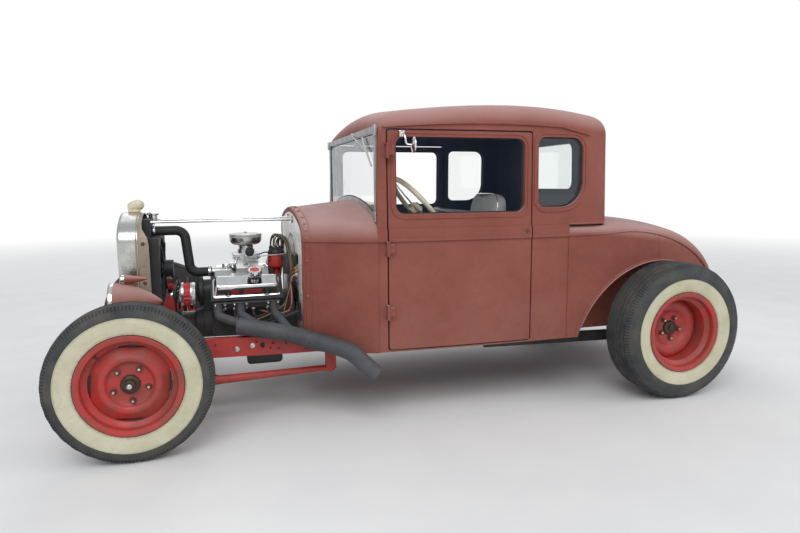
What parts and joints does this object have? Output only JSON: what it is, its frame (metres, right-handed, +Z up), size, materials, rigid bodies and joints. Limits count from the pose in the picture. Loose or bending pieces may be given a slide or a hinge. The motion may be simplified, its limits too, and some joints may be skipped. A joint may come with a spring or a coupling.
{
  "type": "hot rod coupe",
  "caption": "Two-door hot rod coupe with open front end, bare engine, ladder frame and wide whitewall tyres; its doors, deck lid, steering and wheels move.",
  "frame": {"origin": "on the ground under the middle of the car", "axes": "+X towards the front, +Y to the car's left, +Z up"},
  "size_m": [3.617, 1.6404, 1.5386],
  "materials": {
    "primer": "matte",
    "frame_paint": "satin",
    "wheel_paint": "satin",
    "tyre": "matte",
    "bare_metal": "satin",
    "chrome": "polished",
    "cast": "matte",
    "alloy": "satin",
    "exhaust": "matte",
    "black_plastic": "matte",
    "hose_rubber": "matte",
    "upholstery": "satin",
    "cream": "gloss",
    "glass": "clear",
    "lamp_red": "gloss",
    "black_metal": "matte"
  },
  "bodies": {
    "chassis": {"accessory_drive": "alloy", "cab": "primer", "cowl": "primer", "dashboard": "black_metal", "distributor": "black_plastic", "engine": "cast", "engine_covers": "chrome", "firewall": "chrome", "floor": "black_metal", "frame": "frame_paint", "front_axle": "frame_paint", "glass": "glass", "grille_shell": "alloy", "headers": "exhaust", "headlamps": "primer", "intake": "alloy", "radiator": "black_metal", "radiator_cap": "cream", "radius_rods": "frame_paint", "rear_axle": "black_metal", "rear_body": "primer", "seat": "upholstery", "support_rods": "chrome", "tail_lamps": "lamp_red", "upper_hose": "hose_rubber", "windshield": "bare_metal"},
    "wheel_front_left": {"wheel_front_left": "wheel_paint", "tyre_front_left": "tyre"},
    "wheel_front_right": {"wheel_front_right": "wheel_paint", "tyre_front_right": "tyre"},
    "wheel_rear_left": {"wheel_rear_left": "wheel_paint", "tyre_rear_left": "tyre"},
    "wheel_rear_right": {"wheel_rear_right": "wheel_paint", "tyre_rear_right": "tyre"},
    "knuckle_left": {"knuckle_left": "frame_paint"},
    "knuckle_right": {"knuckle_right": "frame_paint"},
    "tie_rod": {"tie_rod": "frame_paint"},
    "pitman_arm": {"pitman_arm": "black_metal"},
    "drag_link": {"drag_link": "frame_paint"},
    "steering_wheel": {"steering_wheel": "cream"},
    "door_left": {"door_left": "primer", "mirror": "chrome"},
    "door_right": {"door_right": "primer"},
    "decklid": {"decklid": "primer"},
    "fan": {"fan": "black_plastic"}
  },
  "joints": [
    {"name": "steer_left", "type": "hinge", "parent": "chassis", "child": "knuckle_left", "pos_m": [1.4775, 0.6, 0.33], "axis": [0, 0, 1], "range_deg": [-28, 28]},
    {"name": "spin_front_left", "type": "hinge", "parent": "knuckle_left", "child": "wheel_front_left", "pos_m": [1.4775, 0.719, 0.33], "axis": [0, 1, 0], "continuous": true},
    {"name": "spin_rear_left", "type": "hinge", "parent": "chassis", "child": "wheel_rear_left", "pos_m": [-1.1775, 0.716, 0.358], "axis": [0, 1, 0], "continuous": true},
    {"name": "door_left", "type": "hinge", "parent": "chassis", "child": "door_left", "pos_m": [0.3655, 0.656, 0.9], "axis": [0, 0, -1], "range_deg": [0, 65]},
    {"name": "steer_right", "type": "hinge", "parent": "chassis", "child": "knuckle_right", "pos_m": [1.4775, -0.6, 0.33], "axis": [0, 0, 1], "range_deg": [-28, 28]},
    {"name": "spin_front_right", "type": "hinge", "parent": "knuckle_right", "child": "wheel_front_right", "pos_m": [1.4775, -0.719, 0.33], "axis": [0, 1, 0], "continuous": true},
    {"name": "spin_rear_right", "type": "hinge", "parent": "chassis", "child": "wheel_rear_right", "pos_m": [-1.1775, -0.716, 0.358], "axis": [0, 1, 0], "continuous": true},
    {"name": "door_right", "type": "hinge", "parent": "chassis", "child": "door_right", "pos_m": [0.3655, -0.656, 0.9], "axis": [0, 0, 1], "range_deg": [0, 65]},
    {"name": "tie_rod_pivot", "type": "hinge", "parent": "knuckle_left", "child": "tie_rod", "pos_m": [1.3375, 0.6, 0.1397], "axis": [0, 0, 1], "range_deg": [-28, 28]},
    {"name": "pitman_swing", "type": "hinge", "parent": "chassis", "child": "pitman_arm", "pos_m": [1.2875, 0.262, 0.155], "axis": [0, 0, 1], "range_deg": [-28, 28]},
    {"name": "drag_link_pivot", "type": "hinge", "parent": "pitman_arm", "child": "drag_link", "pos_m": [1.1475, 0.262, 0.1703], "axis": [0, 0, 1], "range_deg": [-28, 28]},
    {"name": "steering_turn", "type": "hinge", "parent": "chassis", "child": "steering_wheel", "pos_m": [0.1165, 0.33, 1.006], "axis": [-0.7596, 0, 0.6504], "range_deg": [-420, 420]},
    {"name": "decklid_hinge", "type": "hinge", "parent": "chassis", "child": "decklid", "pos_m": [-0.939, 0, 0.945], "axis": [0, 1, 0], "range_deg": [0, 60]},
    {"name": "fan_spin", "type": "hinge", "parent": "chassis", "child": "fan", "pos_m": [1.4065, 0, 0.7], "axis": [1, 0, 0], "continuous": true}
  ],
  "couplings": [
    {"joint": "steer_right", "follows": "steer_left", "ratio": 1},
    {"joint": "tie_rod_pivot", "follows": "steer_left", "ratio": -1},
    {"joint": "pitman_swing", "follows": "steer_left", "ratio": 1},
    {"joint": "drag_link_pivot", "follows": "steer_left", "ratio": -1},
    {"joint": "steering_turn", "follows": "steer_left", "ratio": 15}
  ]
}
